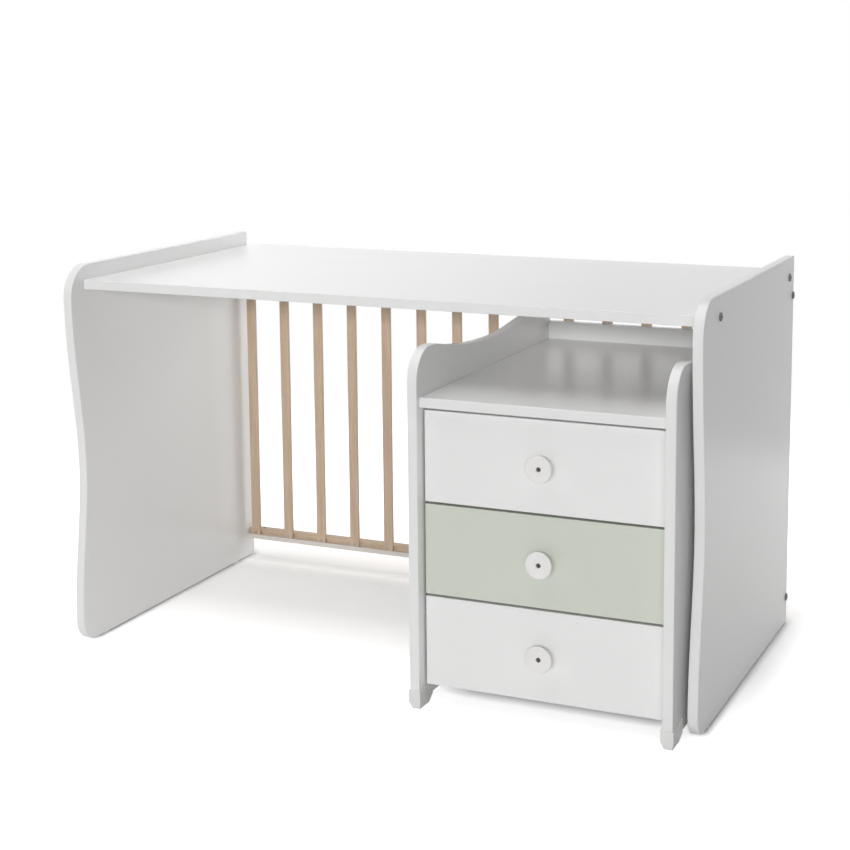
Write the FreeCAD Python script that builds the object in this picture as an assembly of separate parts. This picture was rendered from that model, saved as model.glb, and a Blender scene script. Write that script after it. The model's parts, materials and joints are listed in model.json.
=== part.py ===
"""Convertible crib set up as a desk: two end panels, a top, one slatted side and a free-standing chest."""
import FreeCAD
import Part
import math
import os

Vector = FreeCAD.Vector

# Desk frame, all sizes in millimetres
inner_length = 1200.0
panel_thickness = 18.0
panel_front_reach = 41.0
panel_waist_inset = 27.0
panel_waist_height = 345.0
panel_top_radius = 60.0
panel_bottom_radius = 40.0
desk_thickness = 18.0
desk_depth = 625.0
desk_drop = 29.0
desk_rear_overhang = 20.0
desk_clearance = 54.0

# Glides under the end panels
glide_height = 2.5
glide_radius = 9.0
glide_inset = 75.0
glide_pin_radius = 1.5
glide_pin_length = 14.0

# Slatted side
rail_height = 22.0
rail_depth = 20.0
rail_floor_gap = 44.5
rail_top_drop = 18.0
sill_height = 10.0
slat_count = 15
slat_width = 21.0
slat_thickness = 8.0
slat_end_gap = 11.0
slat_top_margin = 4.0
slat_screw_head_radius = 3.2
slat_screw_radius = 1.75
slat_screw_bite = 7.0
slat_screw_rise = 4.5

# Bolts and barrel nuts that hold the desk top and the rails between the panels
bolt_radius = 3.0
bolt_head_radius = 7.5
bolt_head_height = 3.0
bolt_head_round = 1.4
bolt_socket_width = 4.0
bolt_socket_depth = 1.8
bolt_tail = 9.0
bolt_clearance = 0.2
barrel_radius = 5.0
barrel_length = 14.0
barrel_setback = 33.0
barrel_thread_clearance = 0.05
desk_bolt_front_inset = 61.0
desk_bolt_rear_inset = 38.0
rail_bolt_setback = 8.0

# Chest carcass
chest_depth = 650.0
chest_board = 18.0
chest_rise = 82.0
chest_shoulder_depth = 140.0
chest_shoulder_drop = 12.5
chest_shoulder_slope = 0.17
chest_hollow_depth = 357.0
chest_hollow_drop = 30.5
chest_rear_drop = 13.0
chest_corner_radius = 58.0
chest_panel_gap = 10.0
chest_slat_gap = 18.0
chest_top_thickness = 18.0
chest_top_recess = 10.0
chest_top_gap = 6.0
back_rail_height = 36.0
back_rail_thickness = 16.0
back_panel_thickness = 3.0
stretcher_height = 60.0
stretcher_thickness = 16.0

# Chest feet, plastic boots over the lower corners of the sides
foot_sole = 15.0
foot_wall = 2.2
foot_length = 52.0
foot_lip_height = 19.5
foot_flange_height = 25.5
foot_side_taper = 4.0
foot_end_taper = 8.0
foot_clearance = 0.1

# Chest screws
chest_screw_head_radius = 5.0
chest_screw_radius = 3.5
chest_screw_length = 50.0
chest_screw_inset = 90.0
screw_clearance = 0.15

# Drawers
drawer_names = ("bottom", "middle", "top")
drawer_floor_gap = 41.0
drawer_front_width = 430.0
drawer_front_height = 160.0
drawer_front_thickness = 16.0
drawer_gap = 4.0
drawer_side_gap = 3.0
drawer_recess = 24.0
drawer_rear_gap = 75.0
drawer_wall = 14.0
drawer_wall_height = 120.0
drawer_wall_lift = 16.0
drawer_floor_thickness = 3.0
drawer_floor_lift = 8.0
drawer_floor_bite = 5.0
drawer_floor_clearance = 0.15
dowel_radius = 4.0
dowel_length = 30.0
dowel_bite = 9.0
dowel_inset = 25.0
dowel_clearance = 0.1

# Runner battens in the grooves of the drawer walls
runner_thickness = 9.0
runner_bite = 7.0
runner_height = 18.0
runner_clearance = 0.3
runner_front_gap = 6.0
runner_rear_gap = 10.0
runner_screw_inset = 60.0
runner_screw_bite = 11.0

# Drawer knobs
knob_radius = 23.5
knob_disc_thickness = 5.0
knob_neck_radius = 9.0
knob_reach = 20.0
knob_rim = 3.0
knob_dish = 1.2
knob_edge_round = 1.5
knob_screw_head_radius = 4.0
knob_screw_head_height = 2.2
knob_screw_radius = 2.0
knob_screw_bite = 13.0
knob_clearance = 0.1

# Heights that follow from the drawers upwards
drawer_count = len(drawer_names)
drawer_pitch = drawer_front_height + drawer_gap
stack_top = drawer_floor_gap + drawer_count * drawer_pitch - drawer_gap
chest_top_under = stack_top + chest_top_gap
chest_top_level = chest_top_under + chest_top_thickness
chest_height = chest_top_level + chest_rise
desk_under = chest_height + desk_clearance
desk_level = desk_under + desk_thickness
panel_height = desk_level + desk_drop
rail_top_under = desk_under - rail_top_drop - rail_height

# Places along X
panel_inner = inner_length / 2
panel_outer = panel_inner + panel_thickness
chest_inner_width = drawer_front_width + 2 * drawer_side_gap
chest_right = panel_inner - chest_panel_gap
chest_inner_right = chest_right - chest_board
chest_inner_left = chest_inner_right - chest_inner_width
chest_left = chest_inner_left - chest_board
chest_middle = (chest_inner_left + chest_inner_right) / 2

# Places along Y, with the origin under the middle of the whole
panel_depth = desk_depth - desk_rear_overhang + panel_front_reach
foot_reach = foot_wall + foot_clearance
front_reach = max(foot_reach, knob_reach - drawer_recess)
whole_depth = desk_rear_overhang + rail_depth + slat_thickness + chest_slat_gap + chest_depth + front_reach
panel_rear = whole_depth / 2 - desk_rear_overhang
panel_front = panel_rear - panel_depth
desk_rear = panel_rear + desk_rear_overhang
desk_front = desk_rear - desk_depth
rail_front = panel_rear - rail_depth
slat_front = rail_front - slat_thickness
rail_bolt_y = panel_rear - rail_bolt_setback
chest_rear = slat_front - chest_slat_gap
chest_front = chest_rear - chest_depth
back_panel_front = chest_rear - back_panel_thickness
stretcher_front = back_panel_front - stretcher_thickness
chest_top_front = chest_front + chest_top_recess
drawer_face = chest_front + drawer_recess
drawer_box_front = drawer_face + drawer_front_thickness
drawer_box_rear = stretcher_front - drawer_rear_gap

# Places along X and Z that several pieces share
slat_bottom = rail_floor_gap + sill_height
slat_top = rail_top_under + rail_height - slat_top_margin
slat_pitch = (inner_length - 2 * slat_end_gap - slat_width) / (slat_count - 1)
slat_middles = [-panel_inner + slat_end_gap + slat_width / 2 + i * slat_pitch for i in range(slat_count)]
slat_screw_levels = (slat_bottom + slat_screw_rise, slat_top - slat_screw_rise)
rail_unders = {"bottom": rail_floor_gap, "top": rail_top_under}
barrel_place = panel_inner - barrel_setback
drawer_side_clearance = runner_thickness - runner_bite
wall_left = chest_inner_left + drawer_side_clearance
wall_right = chest_inner_right - drawer_side_clearance
runner_middle = drawer_wall_lift + drawer_wall_height / 2


def block(low, high):
    """A box between two opposite corners."""
    size = Vector(*high) - Vector(*low)
    return Part.makeBox(size.x, size.y, size.z, Vector(*low))


def rod(radius, start, direction, length):
    """A cylinder from a point along a direction."""
    return Part.makeCylinder(radius, length, Vector(*start), Vector(*direction))


def screw(start, direction, head_radius, radius, length):
    """A countersunk screw whose flat head lies at the start point, flush with its face."""
    sink = head_radius - radius
    head = Part.makeCone(head_radius, radius, sink, Vector(*start), Vector(*direction))
    return head.fuse(rod(radius, start, direction, length)).removeSplitter()


def rounded(corner, before, after):
    """The arc that rounds a square corner between two points at the same distance from it."""
    inward = (before - corner) + (after - corner)
    return Part.Arc(before, corner + inward * (1 - 1 / math.sqrt(2)), after).toShape()


def wave(points, ways):
    """A smooth curve through points, with the way that it runs at each of them."""
    curve = Part.BSplineCurve()
    curve.interpolate(Points=points, Tangents=ways, TangentFlags=[True] * len(points))
    return curve.toShape()


def line(start, end):
    return Part.LineSegment(start, end).toShape()


def slab(edges, thickness):
    """A board from a closed outline in the YZ plane, thickened along X."""
    return Part.Face(Part.Wire(edges)).extrude(Vector(thickness, 0, 0))


def save(node, *solids):
    """Writes one node: a single solid, or a group of separate ones."""
    shape = solids[0] if len(solids) == 1 else Part.makeCompound(list(solids))
    if not shape.isValid():
        raise ValueError(node + " isn't a valid shape")
    shape.exportStep("parts/" + node + ".step")


# Frame bolts: each joint is a place along Y and Z, with the face that its barrel nut goes in from
frame_joints = [
    ("desk", desk_front + desk_bolt_front_inset, desk_under + desk_thickness / 2),
    ("desk", panel_rear - desk_bolt_rear_inset, desk_under + desk_thickness / 2),
    ("top", rail_bolt_y, rail_top_under + rail_height / 2),
    ("bottom", rail_bolt_y, rail_floor_gap + rail_height / 2),
]


def frame_bolt(side, y, z):
    """A button-head bolt through one end panel; side is -1 at the left and 1 at the right."""
    inward = (-side, 0, 0)
    length = panel_thickness + barrel_setback + bolt_tail
    crown = rod(bolt_head_radius, (side * panel_outer, y, z), (side, 0, 0), bolt_head_height)
    rim = [e for e in crown.Edges if abs(e.CenterOfMass.x) > panel_outer + bolt_head_height / 2 and e.Closed]
    crown = crown.makeFillet(bolt_head_round, rim)
    corner = bolt_socket_width / math.sqrt(3)
    socket_floor = side * (panel_outer + bolt_head_height - bolt_socket_depth)
    turns = [math.radians(60 * i) for i in range(7)]
    ring = [Vector(socket_floor, y + corner * math.cos(t), z + corner * math.sin(t)) for t in turns]
    socket = Part.Face(Part.makePolygon(ring)).extrude(Vector(side * bolt_head_height, 0, 0))
    shank = rod(bolt_radius, (side * panel_outer, y, z), inward, length)
    return crown.cut(socket).fuse(shank).removeSplitter()


def bolt_hole(side, y, z):
    """Room for a frame bolt through the panel and into the end of the desk top or rail."""
    length = panel_thickness + barrel_setback + bolt_tail + bolt_clearance
    return rod(bolt_radius + bolt_clearance, (side * panel_outer, y, z), (-side, 0, 0), length)


def barrel_nut(side, y, z):
    """An upright barrel nut with the bolt's thread across it."""
    low = z - barrel_length / 2
    barrel = rod(barrel_radius, (side * barrel_place, y, low), (0, 0, 1), barrel_length)
    across = (side * (barrel_place - 2 * barrel_radius), y, z)
    thread = rod(bolt_radius + barrel_thread_clearance, across, (side, 0, 0), 4 * barrel_radius)
    return barrel.cut(thread)


def barrel_hole(side, host, y, z):
    """The hole for a barrel nut, from the desk top's underside or a rail's upper face."""
    up = -1 if host == "desk" else 1
    depth = (desk_thickness if host == "desk" else rail_height) / 2 + barrel_length / 2
    start = (side * barrel_place, y, z - up * barrel_length / 2)
    return rod(barrel_radius + bolt_clearance, start, (0, 0, up), depth)


def fastening_holes(host):
    holes = []
    for name, y, z in frame_joints:
        if name == host:
            for side in (-1, 1):
                holes += [bolt_hole(side, y, z), barrel_hole(side, host, y, z)]
    return holes


# End panels: straight rear edge, and a front edge that swells at the shoulder and foot and is hollow between
glide_places = (panel_rear - glide_inset, panel_front + glide_inset)


def end_panel(side):
    x = -panel_outer if side < 0 else panel_inner
    low = glide_height
    foot = Vector(x, panel_front, low + panel_bottom_radius)
    toe = Vector(x, panel_front + panel_bottom_radius, low)
    shoulder = Vector(x, panel_front, panel_height - panel_top_radius)
    crown = Vector(x, panel_front + panel_top_radius, panel_height)
    waist = Vector(x, panel_front + panel_waist_inset, panel_waist_height)
    heel = Vector(x, panel_rear, low)
    nape = Vector(x, panel_rear, panel_height)
    edges = [
        rounded(Vector(x, panel_front, low), toe, foot),
        wave([foot, waist, shoulder], [Vector(0, 0, 1)] * 3),
        rounded(Vector(x, panel_front, panel_height), shoulder, crown),
        line(crown, nape),
        line(nape, heel),
        line(heel, toe),
    ]
    holes = [bolt_hole(side, y, z) for _, y, z in frame_joints]
    for y in glide_places:
        middle = (side * (panel_outer - panel_thickness / 2), y, low)
        radius = glide_pin_radius + screw_clearance
        holes.append(rod(radius, middle, (0, 0, 1), glide_pin_length + screw_clearance))
    return slab(edges, panel_thickness).cut(holes)


def panel_glide(side, y):
    """A round plastic glide with a pin driven up into the panel."""
    x = side * (panel_outer - panel_thickness / 2)
    disc = rod(glide_radius, (x, y, 0), (0, 0, 1), glide_height)
    pin = rod(glide_pin_radius, (x, y, 0), (0, 0, 1), glide_height + glide_pin_length)
    return disc.fuse(pin).removeSplitter()


def desk_top():
    board = block((-panel_inner, desk_front, desk_under), (panel_inner, desk_rear, desk_level))
    return board.cut(fastening_holes("desk"))


# Slatted side: rails bolted between the panels, slats screwed to the rails' front faces
def rail(name):
    under = rail_unders[name]
    bar = block((-panel_inner, rail_front, under), (panel_inner, panel_rear, under + rail_height))
    level = slat_screw_levels[0] if name == "bottom" else slat_screw_levels[1]
    pilot = slat_screw_radius + screw_clearance
    depth = slat_screw_bite + screw_clearance
    pilots = [rod(pilot, (x, rail_front, level), (0, 1, 0), depth) for x in slat_middles]
    return bar.cut(fastening_holes(name) + pilots)


def rail_sill():
    low = (-panel_inner, slat_front, rail_floor_gap)
    return block(low, (panel_inner, rail_front, slat_bottom))


def slat(x):
    half = slat_width / 2
    bar = block((x - half, slat_front, slat_bottom), (x + half, rail_front, slat_top))
    head = slat_screw_head_radius + screw_clearance
    shank = slat_screw_radius + screw_clearance
    starts = [(x, slat_front, z) for z in slat_screw_levels]
    return bar.cut([screw(start, (0, 1, 0), head, shank, slat_thickness) for start in starts])


def slat_screw(x, z):
    length = slat_thickness + slat_screw_bite
    return screw((x, slat_front, z), (0, 1, 0), slat_screw_head_radius, slat_screw_radius, length)


# Chest carcass: each joint of a board to a side is a place along Y and Z
top_screw_level = chest_top_under + chest_top_thickness / 2
back_rail_middle = chest_rear - back_rail_thickness / 2
stretcher_middle = stretcher_front + stretcher_thickness / 2
chest_joints = [
    (chest_top_front + chest_screw_inset, top_screw_level),
    ((chest_top_front + back_panel_front) / 2, top_screw_level),
    (back_panel_front - chest_screw_inset, top_screw_level),
    (back_rail_middle, chest_top_level + back_rail_height / 2),
    (stretcher_middle, drawer_floor_gap + stretcher_height / 2),
]


def chest_screw(side, y, z, clearance=0.0):
    """A screw through a chest side into the end of a board; with a clearance it is that screw's hole."""
    face = chest_left if side < 0 else chest_right
    head = chest_screw_head_radius + clearance
    shank = chest_screw_radius + clearance
    return screw((face, y, z), (-side, 0, 0), head, shank, chest_screw_length + clearance)


def carcass_holes():
    return [chest_screw(side, y, z, screw_clearance) for side in (-1, 1) for y, z in chest_joints]


# Runner battens: two for each drawer, screwed to the inner faces of the chest sides
runner_start = drawer_box_front + runner_front_gap
runner_end = drawer_box_rear - runner_rear_gap
runner_screw_places = (runner_start + runner_screw_inset, runner_end - runner_screw_inset)
drawer_unders = [drawer_floor_gap + i * drawer_pitch for i in range(drawer_count)]


def runner_screw(side, y, z, clearance=0.0):
    face = chest_inner_left + runner_thickness if side < 0 else chest_inner_right - runner_thickness
    head = slat_screw_head_radius + clearance
    length = runner_thickness + runner_screw_bite + clearance
    return screw((face, y, z), (side, 0, 0), head, slat_screw_radius + clearance, length)


def runner_holes(side):
    levels = [under + runner_middle for under in drawer_unders]
    return [runner_screw(side, y, z, screw_clearance) for z in levels for y in runner_screw_places]


def runner(side, under):
    low_x = chest_inner_left if side < 0 else chest_inner_right - runner_thickness
    low_z = under + runner_middle - runner_height / 2
    high = (low_x + runner_thickness, runner_end, low_z + runner_height)
    return block((low_x, runner_start, low_z), high).cut(runner_holes(side))


def chest_side(side):
    x = chest_left if side < 0 else chest_inner_right
    low = foot_sole
    turn = chest_corner_radius
    front_foot = Vector(x, chest_front, low)
    front_neck = Vector(x, chest_front, chest_height - turn)
    front_hump = Vector(x, chest_front + turn, chest_height)
    shoulder = Vector(x, chest_front + chest_shoulder_depth, chest_height - chest_shoulder_drop)
    hollow = Vector(x, chest_front + chest_hollow_depth, chest_height - chest_hollow_drop)
    rear_height = chest_height - chest_rear_drop
    rear_hump = Vector(x, chest_rear - turn, rear_height)
    rear_neck = Vector(x, chest_rear, rear_height - turn)
    rear_foot = Vector(x, chest_rear, low)
    level = Vector(0, 1, 0)
    falling = Vector(0, 1, -chest_shoulder_slope)
    edges = [
        line(front_foot, front_neck),
        rounded(Vector(x, chest_front, chest_height), front_neck, front_hump),
        wave([front_hump, shoulder, hollow, rear_hump], [level, falling, level, level]),
        rounded(Vector(x, chest_rear, rear_height), rear_hump, rear_neck),
        line(rear_neck, rear_foot),
        line(rear_foot, front_foot),
    ]
    return slab(edges, chest_board).cut(carcass_holes() + runner_holes(side))


def chest_foot(side, end):
    """A boot over one lower corner of a side; end is -1 at the front and 1 at the rear."""
    low_x = (chest_left if side < 0 else chest_inner_right) - foot_reach
    high_x = low_x + chest_board + 2 * foot_reach
    tip = (chest_front if end < 0 else chest_rear) + end * foot_reach
    tail = tip - end * (foot_length + foot_reach)
    inner_tip = tip - end * foot_reach
    lip_top = foot_sole + foot_lip_height
    flange_top = foot_sole + foot_flange_height

    def ring(z, x_in, y_in):
        corners = [(low_x + x_in, tip - end * y_in), (high_x - x_in, tip - end * y_in)]
        corners += [(high_x - x_in, tail + end * y_in), (low_x + x_in, tail + end * y_in)]
        return Part.makePolygon([Vector(x, y, z) for x, y in corners + corners[:1]])

    sole = Part.makeLoft([ring(0, foot_side_taper, foot_end_taper), ring(foot_sole, 0, 0)], True, True)
    side_view = [(tip, foot_sole), (tip, lip_top), (tail, flange_top), (tail, foot_sole), (tip, foot_sole)]
    outline = Part.makePolygon([Vector(low_x, y, z) for y, z in side_view])
    cup = Part.Face(outline).extrude(Vector(high_x - low_x, 0, 0))
    near, far = sorted((inner_tip + end * foot_clearance, tail - end))
    slot = block(
        (low_x + foot_wall, near, foot_sole),
        (high_x - foot_wall, far, flange_top + foot_wall),
    )
    return cup.cut(slot).fuse(sole).removeSplitter()


def chest_top():
    low = (chest_inner_left, chest_top_front, chest_top_under)
    return block(low, (chest_inner_right, back_panel_front, chest_top_level)).cut(carcass_holes())


def chest_back_rail():
    low = (chest_inner_left, chest_rear - back_rail_thickness, chest_top_level)
    high = (chest_inner_right, chest_rear, chest_top_level + back_rail_height)
    return block(low, high).cut(carcass_holes())


def chest_back_panel():
    low = (chest_inner_left, back_panel_front, drawer_floor_gap)
    return block(low, (chest_inner_right, chest_rear, chest_top_level))


def chest_stretcher():
    low = (chest_inner_left, stretcher_front, drawer_floor_gap)
    high = (chest_inner_right, back_panel_front, drawer_floor_gap + stretcher_height)
    return block(low, high).cut(carcass_holes())


# Drawers: a face board on a dowelled box, with a thin floor let into grooves
box_back_front = drawer_box_rear - drawer_wall
box_levels = (dowel_inset, drawer_wall_height - dowel_inset)


def drawer_floor_board(under, grow=0.0):
    """The floor board, or with grow the groove that takes it."""
    bite = drawer_floor_bite + grow
    low_z = under + drawer_wall_lift + drawer_floor_lift
    low = (wall_left + drawer_wall - bite, drawer_box_front - bite, low_z - grow)
    high = (wall_right - drawer_wall + bite, drawer_box_rear, low_z + drawer_floor_thickness + grow)
    return block(low, high)


def drawer_dowels(under, grow=0.0):
    """Dowels from the walls into the face board and the back; with grow, their holes."""
    radius = dowel_radius + grow
    length = dowel_length + 2 * grow
    pins = []
    for level in box_levels:
        z = under + drawer_wall_lift + level
        for x in (wall_left + drawer_wall / 2, wall_right - drawer_wall / 2):
            pins.append(rod(radius, (x, drawer_box_front - dowel_bite - grow, z), (0, 1, 0), length))
        y = box_back_front + drawer_wall / 2
        pins.append(rod(radius, (wall_left + drawer_wall - dowel_bite - grow, y, z), (1, 0, 0), length))
        pins.append(rod(radius, (wall_right - drawer_wall + dowel_bite + grow, y, z), (-1, 0, 0), length))
    return pins


def drawer_front(under):
    low = (chest_middle - drawer_front_width / 2, drawer_face, under)
    high = (chest_middle + drawer_front_width / 2, drawer_box_front, under + drawer_front_height)
    middle = (chest_middle, drawer_face, under + drawer_front_height / 2)
    hole = rod(knob_screw_radius + knob_clearance, middle, (0, 1, 0), knob_screw_bite + knob_clearance)
    floor = drawer_floor_board(under, drawer_floor_clearance)
    return block(low, high).cut([hole, floor] + drawer_dowels(under, dowel_clearance))


def drawer_side(side, under):
    low_x = wall_left if side < 0 else wall_right - drawer_wall
    low_z = under + drawer_wall_lift
    wall = block(
        (low_x, drawer_box_front, low_z),
        (low_x + drawer_wall, drawer_box_rear, low_z + drawer_wall_height),
    )
    depth = runner_bite + runner_clearance
    groove_x = low_x if side < 0 else low_x + drawer_wall - depth
    groove_low = under + runner_middle - runner_height / 2 - runner_clearance
    groove_high = groove_low + runner_height + 2 * runner_clearance
    groove = block((groove_x, drawer_box_front, groove_low), (groove_x + depth, drawer_box_rear, groove_high))
    floor = drawer_floor_board(under, drawer_floor_clearance)
    return wall.cut([groove, floor] + drawer_dowels(under, dowel_clearance))


def drawer_back(under):
    base = under + drawer_wall_lift
    low_z = base + drawer_floor_lift + drawer_floor_thickness + drawer_floor_clearance
    low = (wall_left + drawer_wall, box_back_front, low_z)
    high = (wall_right - drawer_wall, drawer_box_rear, base + drawer_wall_height)
    return block(low, high).cut(drawer_dowels(under, dowel_clearance))


def drawer_knob(under):
    """A dished disc on a neck, turned about the knob's axis."""
    z = under + drawer_front_height / 2

    def at(radius, reach):
        return Vector(chest_middle + radius, drawer_face - reach, z)

    hole = knob_screw_radius + knob_clearance
    seat = knob_screw_head_radius + knob_clearance
    disc_back = knob_reach - knob_disc_thickness
    dish_floor = knob_reach - knob_dish
    head_floor = dish_floor - knob_screw_head_height
    rim = knob_radius - knob_rim
    middle_radius = (rim + seat) / 2
    middle_dish = knob_reach - knob_dish * (1 - ((middle_radius - seat) / (rim - seat)) ** 2)
    edge = [
        line(at(hole, 0), at(knob_neck_radius, 0)),
        line(at(knob_neck_radius, 0), at(knob_neck_radius, disc_back)),
        line(at(knob_neck_radius, disc_back), at(knob_radius - knob_edge_round, disc_back)),
        rounded(
            at(knob_radius, disc_back),
            at(knob_radius - knob_edge_round, disc_back),
            at(knob_radius, disc_back + knob_edge_round),
        ),
        line(at(knob_radius, disc_back + knob_edge_round), at(knob_radius, knob_reach - knob_edge_round)),
        rounded(
            at(knob_radius, knob_reach),
            at(knob_radius, knob_reach - knob_edge_round),
            at(knob_radius - knob_edge_round, knob_reach),
        ),
        line(at(knob_radius - knob_edge_round, knob_reach), at(rim, knob_reach)),
        Part.Arc(at(rim, knob_reach), at(middle_radius, middle_dish), at(seat, dish_floor)).toShape(),
        line(at(seat, dish_floor), at(seat, head_floor)),
        line(at(seat, head_floor), at(hole, head_floor)),
        line(at(hole, head_floor), at(hole, 0)),
    ]
    return Part.Face(Part.Wire(edge)).revolve(at(0, 0), Vector(0, 1, 0), 360)


def knob_screw(under):
    z = under + drawer_front_height / 2
    head_top = drawer_face - knob_reach + knob_dish
    head = rod(knob_screw_head_radius, (chest_middle, head_top, z), (0, 1, 0), knob_screw_head_height)
    length = knob_reach - knob_dish + knob_screw_bite
    return head.fuse(rod(knob_screw_radius, (chest_middle, head_top, z), (0, 1, 0), length)).removeSplitter()


os.makedirs("parts", exist_ok=True)

save("left_end_panel", end_panel(-1))
save("right_end_panel", end_panel(1))
save("panel_glides", *[panel_glide(side, y) for side in (-1, 1) for y in glide_places])
save("desk_top", desk_top())
save("frame_bolts", *[frame_bolt(side, y, z) for side in (-1, 1) for _, y, z in frame_joints])
save("barrel_nuts", *[barrel_nut(side, y, z) for side in (-1, 1) for _, y, z in frame_joints])
for rail_name in rail_unders:
    save("rail_" + rail_name, rail(rail_name))
save("rail_sill", rail_sill())
for number, slat_x in enumerate(slat_middles, 1):
    save("slat_%02d" % number, slat(slat_x))
save("slat_screws", *[slat_screw(x, z) for x in slat_middles for z in slat_screw_levels])

save("chest_left_side", chest_side(-1))
save("chest_right_side", chest_side(1))
save("chest_top", chest_top())
save("chest_back_rail", chest_back_rail())
save("chest_back_panel", chest_back_panel())
save("chest_stretcher", chest_stretcher())
save("chest_feet", *[chest_foot(side, end) for side in (-1, 1) for end in (-1, 1)])
save("chest_runners", *[runner(side, under) for side in (-1, 1) for under in drawer_unders])
carcass_screws = [chest_screw(side, y, z) for side in (-1, 1) for y, z in chest_joints]
batten_screws = [
    runner_screw(side, y, under + runner_middle)
    for side in (-1, 1)
    for under in drawer_unders
    for y in runner_screw_places
]
save("chest_screws", *carcass_screws, *batten_screws)

for drawer_name, drawer_under in zip(drawer_names, drawer_unders):
    node = "drawer_" + drawer_name
    save(node + "_front", drawer_front(drawer_under))
    save(node + "_left", drawer_side(-1, drawer_under))
    save(node + "_right", drawer_side(1, drawer_under))
    save(node + "_back", drawer_back(drawer_under))
    save(node + "_floor", drawer_floor_board(drawer_under))
    save(node + "_dowels", *drawer_dowels(drawer_under))
    save(node + "_knob", drawer_knob(drawer_under))
    save(node + "_knob_screw", knob_screw(drawer_under))

whole_length = 2 * (panel_outer + bolt_head_height)
print("length %.1f, depth %.1f, height %.1f" % (whole_length, whole_depth, panel_height))
print("slat pitch %.2f, clear gap %.2f" % (slat_pitch, slat_pitch - slat_width))
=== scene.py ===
import json
import math
import bmesh
import bpy
from mathutils import Matrix, Vector

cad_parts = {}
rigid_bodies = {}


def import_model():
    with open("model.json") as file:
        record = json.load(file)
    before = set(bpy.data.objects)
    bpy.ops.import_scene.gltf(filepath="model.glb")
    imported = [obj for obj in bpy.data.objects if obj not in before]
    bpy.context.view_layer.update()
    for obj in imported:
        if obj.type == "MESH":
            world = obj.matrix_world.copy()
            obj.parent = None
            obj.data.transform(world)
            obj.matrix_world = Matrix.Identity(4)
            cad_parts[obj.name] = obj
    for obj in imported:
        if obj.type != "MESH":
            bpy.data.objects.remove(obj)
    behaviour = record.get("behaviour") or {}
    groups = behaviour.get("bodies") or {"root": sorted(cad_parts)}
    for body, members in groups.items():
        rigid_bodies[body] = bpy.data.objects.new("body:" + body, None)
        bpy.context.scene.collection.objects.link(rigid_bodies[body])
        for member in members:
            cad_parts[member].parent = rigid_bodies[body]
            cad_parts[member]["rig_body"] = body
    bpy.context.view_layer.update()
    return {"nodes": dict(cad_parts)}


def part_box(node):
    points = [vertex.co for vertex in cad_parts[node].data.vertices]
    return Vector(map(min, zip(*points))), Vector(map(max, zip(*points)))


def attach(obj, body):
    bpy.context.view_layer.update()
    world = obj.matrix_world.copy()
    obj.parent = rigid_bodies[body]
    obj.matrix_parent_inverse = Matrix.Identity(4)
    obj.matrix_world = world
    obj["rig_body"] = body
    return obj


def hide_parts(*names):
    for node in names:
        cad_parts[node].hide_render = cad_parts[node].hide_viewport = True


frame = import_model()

nodes = frame["nodes"]
scene = bpy.context.scene


def put(tree, kind, **settings):
    node = tree.nodes.new(kind)
    for name, value in settings.items():
        setattr(node, name, value)
    return node


def feed(tree, node, sources):
    for key, source in sources.items():
        socket = node.inputs[key]
        if isinstance(source, bpy.types.NodeSocket):
            tree.links.new(source, socket)
        else:
            socket.default_value = source
    return node


def openGroup(name, kind, inputs, outputs):
    group = bpy.data.node_groups.new(name, kind)
    for label, (socketType, value) in inputs.items():
        socket = group.interface.new_socket(name=label, in_out="INPUT", socket_type=socketType)
        if value is not None:
            socket.default_value = value
    for label, socketType in outputs.items():
        group.interface.new_socket(name=label, in_out="OUTPUT", socket_type=socketType)
    return group, put(group, "NodeGroupInput"), put(group, "NodeGroupOutput")


def noise(tree, vector, scale, detail, distortion=0.0):
    values = {"Vector": vector, "Scale": scale, "Detail": detail, "Distortion": distortion}
    return feed(tree, put(tree, "ShaderNodeTexNoise"), values).outputs["Fac"]


def span(tree, value, fromLow, fromHigh, toLow, toHigh):
    values = {"Value": value, "From Min": fromLow, "From Max": fromHigh, "To Min": toLow, "To Max": toHigh}
    return feed(tree, put(tree, "ShaderNodeMapRange"), values).outputs["Result"]


def mixColour(tree, share, first, second):
    node = put(tree, "ShaderNodeMix", data_type="RGBA")
    return feed(tree, node, {0: share, 6: first, 7: second}).outputs[2]


def sumOf(tree, first, second, operation="ADD"):
    return feed(tree, put(tree, "ShaderNodeMath", operation=operation), {0: first, 1: second}).outputs[0]


# The middle of a noise's range, stretched over the whole of a mix
noiseMiddle = (0.3, 0.7)

# A smooth pressed or moulded skin: fine orange peel, speckled tone and a slow drift of polish
pressed = {"peelDetail": 2.0, "wearScale": 6.0, "wearDetail": 2.0}
pressedFinish, given, made = openGroup(
    "pressedFinish",
    "ShaderNodeTree",
    {
        "Vector": ("NodeSocketVector", None),
        "Tone": ("NodeSocketColor", (0.8, 0.8, 0.8, 1.0)),
        "Shade": ("NodeSocketColor", (0.77, 0.77, 0.77, 1.0)),
        "Peel": ("NodeSocketFloat", 700.0),
        "Gloss": ("NodeSocketFloat", 0.24),
        "Matt": ("NodeSocketFloat", 0.34),
    },
    {"Color": "NodeSocketColor", "Roughness": "NodeSocketFloat", "Height": "NodeSocketFloat"},
)
where = given.outputs["Vector"]
peel = noise(pressedFinish, where, given.outputs["Peel"], pressed["peelDetail"])
speckle = span(pressedFinish, peel, *noiseMiddle, 0.0, 1.0)
wear = noise(pressedFinish, where, pressed["wearScale"], pressed["wearDetail"])
polish = span(pressedFinish, wear, *noiseMiddle, given.outputs["Gloss"], given.outputs["Matt"])
tone = mixColour(pressedFinish, speckle, given.outputs["Tone"], given.outputs["Shade"])
feed(pressedFinish, made, {"Color": tone, "Roughness": polish, "Height": peel})

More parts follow.
